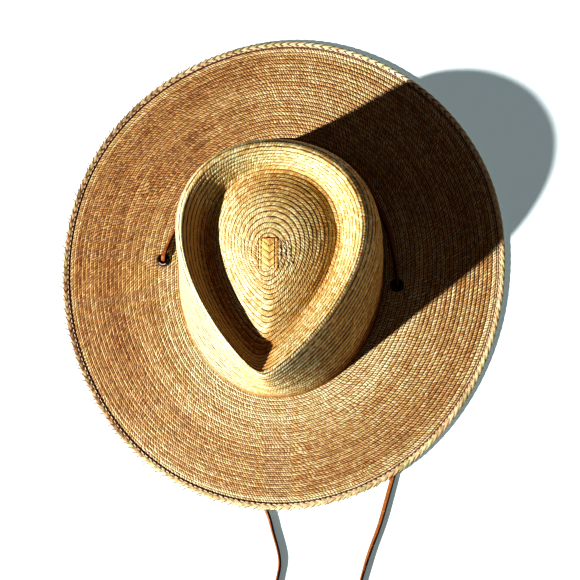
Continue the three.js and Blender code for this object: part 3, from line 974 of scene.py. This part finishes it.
edge_plait()
# the dark thread in the groove is partly painted shade
groove_thread_and_shade = thread_material("groove_thread_and_shade", colour(52, 30, 30), colour(138, 100, 90))
pale_thread = thread_material("pale_thread", colour(214, 186, 170), colour(244, 226, 214))
fray_straw = thread_material("fray_straw", colour(70, 46, 26), colour(130, 96, 60))
groove_line = rim_line(np.linspace(0, 2 * math.pi, 721), GROOVE_INSIDE, GROOVE_HEIGHT)
threads("edge_groove", [groove_line], GROOVE_WIDTH, groove_thread_and_shade, "edge_straw")
stitch_run = np.linspace(0, STITCH_LENGTH / MEAN_REACH, 5)
stitch_lines = [
    rim_line(start + stitch_run, STITCH_INSIDE, STITCH_HEIGHT)
    for start in np.arange(0, 2 * math.pi, STITCH_PITCH / MEAN_REACH)
]
threads("edge_stitches", stitch_lines, STITCH_WIDTH, pale_thread, "edge_straw")
chance = np.random.default_rng(7)
fray_lines = []
for start in np.arange(0, 2 * math.pi, FRAY_PITCH):
    begin = start + chance.uniform(-FRAY_JITTER, FRAY_JITTER)
    lean = chance.uniform(*FRAY_LEAN)
    to_left = np.clip(math.cos(begin - FRAYED_TURN) + 0.3, 0.0, 1.0)
    outer = chance.uniform(*FRAY_OUT) * (0.15 + 0.85 * to_left)
    if to_left == 0.0:
        continue
    fray_lines.append(np.concatenate([
        rim_line(np.array([begin]), EDGE_WIDTH * 0.50, EDGE_HEIGHT),
        rim_line(np.array([begin - lean * 0.3]), EDGE_WIDTH * 0.25, EDGE_HEIGHT * 0.97),
        rim_line(np.array([begin - lean * 0.6]), EDGE_WIDTH * 0.06, EDGE_HEIGHT * 0.80),
        rim_line(np.array([begin - lean]), -outer, EDGE_HEIGHT * 0.62),
    ]))
threads("edge_frays", fray_lines, FRAY_WIDTH, fray_straw, "edge_straw")


# Eyelets: pressed rings of black-painted metal, clenched over the brim's hole on each side of the
# crown. The paint is scuffed, and the left one's lip carries a pale painted glint towards the front.
EYELET_PROFILE = [  # radius and height, in millimetres, from inside the bore round the outside
    (3.0, 7.1), (3.2, 6.85), (3.6, 6.8), (4.4, 6.8), (4.9, 7.1), (5.0, 7.6), (4.2, 7.8), (3.7, 8.2),
    (3.7, 10.4), (4.4, 10.65), (5.3, 10.7), (5.5, 10.95), (5.35, 11.4), (4.9, 11.75), (4.3, 11.9),
    (3.7, 11.8), (3.25, 11.5), (3.05, 11.0),
]
EYELET_SEGMENTS = 64


def eyelet_material():
    material, shader, place = new_material("black_metal")
    along, round_it, _ = place.node("ShaderNodeUVMap", {"uv_map": "skin"}, {}).axes()
    worn = place.noise(700.0, 3.0)
    scuffs = place.noise(240.0, 2.0).step(0.60, 0.70)
    # painted glint: a pale crescent of reflected light on the left eyelet's lip, towards the front
    lip = along.step(0.76, 0.80) * (1.0 - (round_it - 0.72).maths("ABSOLUTE").step(0.10, 0.15))
    lip = lip * (1.0 - place.axes()[0].step(-0.01, 0.01))
    paint = worn.mix(colour(14, 13, 13), colour(34, 32, 31))
    metal = scuffs.mix(paint, colour(120, 116, 110))
    metal = lip.mix(metal, colour(222, 208, 206))
    roughness = worn * 0.25 + 0.4
    bump = place.node("ShaderNodeBump", {}, {"Strength": 0.2, "Distance": 0.0001, "Height": worn})
    metallic = scuffs * (1.0 - lip)
    feed(
        material.node_tree,
        shader,
        {"Base Color": metal, "Roughness": roughness, "Metallic": metallic, "Normal": bump},
    )
    return material


black_metal = eyelet_material()
turn = np.linspace(0, 2 * math.pi, EYELET_SEGMENTS, endpoint=False)
ring, spoke = np.meshgrid(np.arange(len(EYELET_PROFILE)), np.arange(EYELET_SEGMENTS), indexing="ij")
next_ring = (ring + 1) % len(EYELET_PROFILE)
next_spoke = (spoke + 1) % EYELET_SEGMENTS
eyelet_faces = np.stack([
    ring * EYELET_SEGMENTS + spoke,
    next_ring * EYELET_SEGMENTS + spoke,
    next_ring * EYELET_SEGMENTS + next_spoke,
    ring * EYELET_SEGMENTS + next_spoke,
], -1).reshape(-1, 4)
eyelet_corners = np.stack([
    np.stack([ring, ring + 1, ring + 1, ring], -1) / len(EYELET_PROFILE),
    np.stack([spoke, spoke, spoke + 1, spoke + 1], -1) / EYELET_SEGMENTS,
], -1).reshape(-1, 2)
for eyelet, (x, y) in EYELET_PLACES.items():
    profile = np.array(EYELET_PROFILE) / 1000
    radius = profile[:, :1]
    places = np.stack([
        x + radius * np.cos(turn),
        y + radius * np.sin(turn),
        np.repeat(profile[:, 1:], EYELET_SEGMENTS, 1),
    ], -1)
    new_piece(
        f"{eyelet}_ring", places.reshape(-1, 3), eyelet_faces, black_metal, eyelet, "black_metal",
        skin=eyelet_corners,
    )


# The plait's start: the braid's first length, folded flat on the middle of the dome and sewn down
# along both sides with olive thread, and across its back end with red. Grey zigzag stitches run
# beside it, on its right.
START_TURN = math.radians(3.8)
START_HALF_WIDTH = 0.0078
START_HALF_LENGTH = 0.0121
START_STRAND = 0.0055
START_SLANT = 0.8
START_FOLD = 0.0016
START_MAP_WIDTH = 0.02
START_RELIEF = 0.00006
START_EDGE_DROP = 0.0012
START_HEIGHT = 0.1003
DOME_FALL = 0.0007
DOME_FALL_AT = (0.012, 0.024)
START_STITCH_LINES = [-0.0073, -0.0053, 0.0050, 0.0074]
ZIGZAG_COLUMNS = [(0.0096, 0.0100), (0.0112, 0.0150), (0.0144, 0.0186)]
ZIGZAG_STEP = 0.0027
ZIGZAG_SWING = 0.0017
DASH_PITCH = 0.0030
DASH_LENGTH = 0.0027
THREAD_RISE = 0.0003
THREAD_WIDTH = 0.0004
TOP_STITCH_ENDS = (-0.0053, 0.0074)
TOP_STITCH_WIDTH = 0.0008


def start_place(across, along):
    """A point of the flat start on the dome, from its own two directions."""
    x = START_MIDDLE[0] + across * math.cos(START_TURN) - along * math.sin(START_TURN)
    y = START_MIDDLE[1] + across * math.sin(START_TURN) + along * math.cos(START_TURN)
    fall = DOME_FALL * ((across / DOME_FALL_AT[0]) ** 2 + (along / DOME_FALL_AT[1]) ** 2)
    return np.stack([x, y, START_HEIGHT - fall], -1)


def start_bleaching(place, _):
    """Paler towards the front left."""
    x, y, _ = place.axes()
    return 0.80 - (x * 1000.0 + y * 1000.0).step(-14.0, 14.0) * 0.45


def folded_v(over):
    """The start's strands meet in a line of arrowheads along its fold."""
    return over.maths("ABSOLUTE") * (-START_MAP_WIDTH * START_SLANT / START_STRAND)


start_straw = straw_material(
    "start_straw",
    (colour(180, 124, 66), colour(214, 168, 104), colour(236, 204, 138), colour(248, 236, 186)),
    start_bleaching,
    folded_v,
    jitter=0.0,
    variety=0.2,
    streaks=0.3,
    strand_gap=0.95,
    row_gap=0.0,
    strand_width=START_STRAND * 1.1,
)


def plait_start():
    """A flat sheet with a little relief, whose edges are turned down into the dome."""
    across, along = np.meshgrid(np.linspace(-1, 1, 49), np.linspace(-1, 1, 97), indexing="ij")
    x = across * START_HALF_WIDTH
    y = along * START_HALF_LENGTH
    strand = (y - np.abs(x - START_FOLD) * START_SLANT) / START_STRAND
    middle = 1 - np.abs(strand % 1 * 2 - 1)
    inside = np.clip((1 - np.maximum(np.abs(across), np.abs(along))) / 0.10, 0, 1)
    places = start_place(x, y)
    places[..., 2] += START_RELIEF * np.sqrt(middle) - START_EDGE_DROP * (1 - inside) ** 2
    rows, columns = across.shape
    i, j = np.meshgrid(np.arange(rows - 1), np.arange(columns - 1), indexing="ij")
    first = i * columns + j
    faces = np.stack([first, first + columns, first + columns + 1, first + 1], -1).reshape(-1, 4)
    corners = np.stack([y / START_STRAND, (x - START_FOLD) / START_MAP_WIDTH], -1).reshape(-1, 2)[faces]
    new_piece(
        "plait_start", places.reshape(-1, 3), faces, start_straw, None, "crown_straw",
        plait=corners.reshape(-1, 2),
    )


def laid_on(line):
    """A line on the start's surface, raised to lie on top of it."""
    return line + np.array((0.0, 0.0, THREAD_RISE))


def dashes(across):
    """Straight stitches along the start, so far to its side."""
    for begin in np.arange(-START_HALF_LENGTH, START_HALF_LENGTH - DASH_LENGTH, DASH_PITCH):
        yield laid_on(start_place(np.full(4, across), np.linspace(begin, begin + DASH_LENGTH, 4)))


def zigzag(top, bottom):
    """One column of slanting stitches beside the start, which leans outwards to its bottom."""
    ends = np.arange(-START_HALF_LENGTH * 0.95, START_HALF_LENGTH, ZIGZAG_STEP)
    for number, (low, high) in enumerate(zip(ends[:-1], ends[1:])):
        swing = ZIGZAG_SWING / 2 * (-1) ** number
        middle = np.interp(low, [ends[0], ends[-1]], [bottom, top])
        yield laid_on(start_place(middle + np.linspace(-swing, swing, 4), np.linspace(low, high, 4)))


plait_start()
olive_thread = thread_material("olive_thread", colour(128, 100, 50), colour(178, 150, 88))
grey_thread = thread_material("grey_thread", colour(134, 120, 130), colour(208, 194, 196))
red_thread = thread_material("red_thread", colour(120, 60, 28), colour(160, 92, 46))
dash_lines = [line for across in START_STITCH_LINES for line in dashes(across)]
threads("start_stitches", dash_lines, THREAD_WIDTH, olive_thread, "crown_straw")
zigzag_lines = [line for ends in ZIGZAG_COLUMNS for line in zigzag(*ends)]
threads("start_zigzag", zigzag_lines, THREAD_WIDTH, grey_thread, "crown_straw")
top_line = laid_on(start_place(np.linspace(*TOP_STITCH_ENDS, 12), np.full(12, START_HALF_LENGTH * 0.97)))
threads("start_top_stitch", [top_line], TOP_STITCH_WIDTH, red_thread, "crown_straw")
